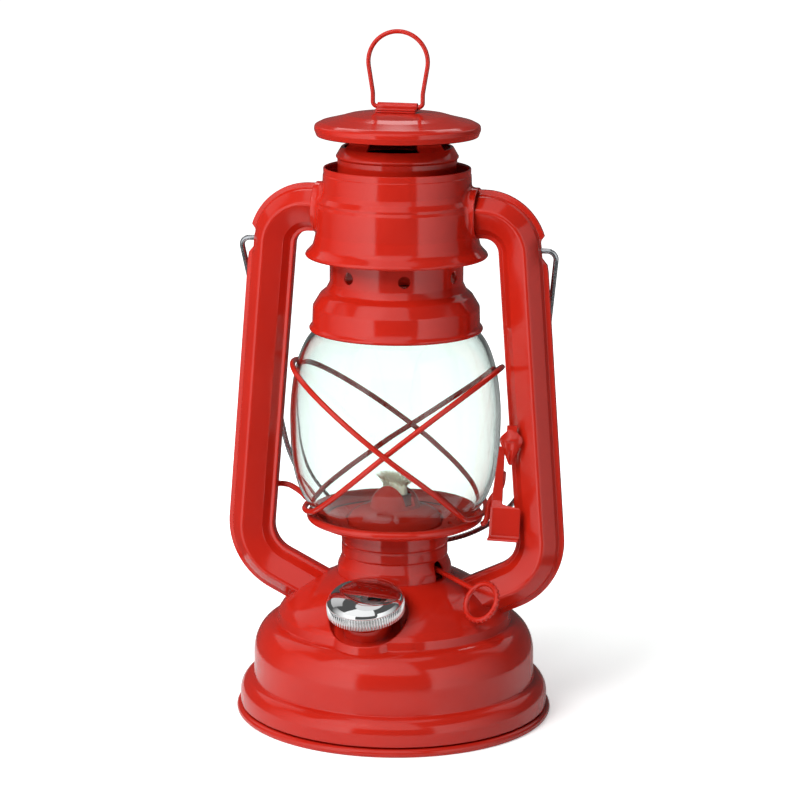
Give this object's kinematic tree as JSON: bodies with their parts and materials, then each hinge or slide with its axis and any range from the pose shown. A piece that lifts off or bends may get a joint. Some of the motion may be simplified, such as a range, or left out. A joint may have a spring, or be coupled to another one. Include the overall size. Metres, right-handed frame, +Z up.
{
  "type": "kerosene lantern",
  "caption": "Red enamelled kerosene lantern: domed tank with screw filler cap, side air tubes, glass globe in crossed wire guards, sprung hood with ring, wick raiser and wire bail",
  "frame": {"origin": "on the floor under the middle of the tank's rim", "axes": "+Z up, +X through the right air tube, -Y towards the filler cap at the front"},
  "size_m": [0.125, 0.115, 0.2481],
  "materials": {
    "red_enamel": "gloss",
    "plated_cap": "polished",
    "bare_steel": "satin",
    "clear_glass": "clear",
    "cotton_wick": "matte",
    "black_rubber": "matte"
  },
  "bodies": {
    "frame": {"tank_bottom": "red_enamel", "tank_shell": "red_enamel", "filler_neck": "red_enamel", "burner_collar": "red_enamel", "burner_base": "red_enamel", "wick_tube": "bare_steel", "burner_cone": "red_enamel", "left_tube": "red_enamel", "right_tube": "red_enamel", "air_chamber": "red_enamel", "chamber_baffle": "red_enamel", "lever_guide": "red_enamel", "hood_spring": "bare_steel"},
    "cap_seal": {"filler_gasket": "black_rubber"},
    "cap": {"filler_cap": "plated_cap"},
    "wick_raiser": {"wick_shaft": "red_enamel", "wick_wheels": "bare_steel"},
    "wick_ribbon": {"wick": "cotton_wick"},
    "globe_carriage": {"globe_plate": "red_enamel", "globe": "clear_glass", "inner_hoop": "red_enamel", "outer_hoop": "red_enamel", "guide_arm": "red_enamel", "lift_arm": "red_enamel", "lift_lever": "red_enamel"},
    "hood": {"hood_bell": "red_enamel", "chimney_tube": "red_enamel", "crown": "red_enamel", "canopy": "red_enamel", "ring_strap": "red_enamel"},
    "ring": {"lifting_ring": "red_enamel"},
    "bail_wire": {"bail": "bare_steel"}
  },
  "joints": [
    {"name": "cap_rise", "type": "slide", "parent": "frame", "child": "cap_seal", "axis": [-0.0135, -0.2585, 0.9659], "range_m": [0, 0.003]},
    {"name": "cap_turn", "type": "hinge", "parent": "cap_seal", "child": "cap", "pos_m": [-0.00172, -0.03276, 0.0388], "axis": [-0.0135, -0.2585, 0.9659], "range_deg": [0, 540]},
    {"name": "wick_turn", "type": "hinge", "parent": "frame", "child": "wick_raiser", "pos_m": [0.00262, 0.0036, 0.0578], "axis": [-0.8011, 0.5821, 0.1392], "range_deg": [-100, 75]},
    {"name": "wick_raise", "type": "slide", "parent": "frame", "child": "wick_ribbon", "axis": [0, 0, 1], "range_m": [-0.0056, 0.0042]},
    {"name": "globe_lift", "type": "slide", "parent": "frame", "child": "globe_carriage", "axis": [0, 0, 1], "range_m": [0, 0.006], "deforming": ["hood_spring"]},
    {"name": "hood_lift", "type": "slide", "parent": "globe_carriage", "child": "hood", "axis": [0, 0, 1], "range_m": [0, 0.008], "stiffness_N_per_m": 200, "springref_m": -0.015, "deforming": ["hood_spring"]},
    {"name": "ring_swing", "type": "hinge", "parent": "hood", "child": "ring", "pos_m": [0, 0, 0.22085], "axis": [1, 0, 0], "range_deg": [-93, 93]},
    {"name": "bail_swing", "type": "hinge", "parent": "frame", "child": "bail_wire", "pos_m": [0, 0, 0.172], "axis": [1, 0, 0], "range_deg": [0, 300]}
  ],
  "couplings": [
    {"joint": "cap_rise", "follows": "cap_turn", "m_per_rad": 0.00031831},
    {"joint": "wick_raise", "follows": "wick_turn", "m_per_rad": 0.0032}
  ]
}
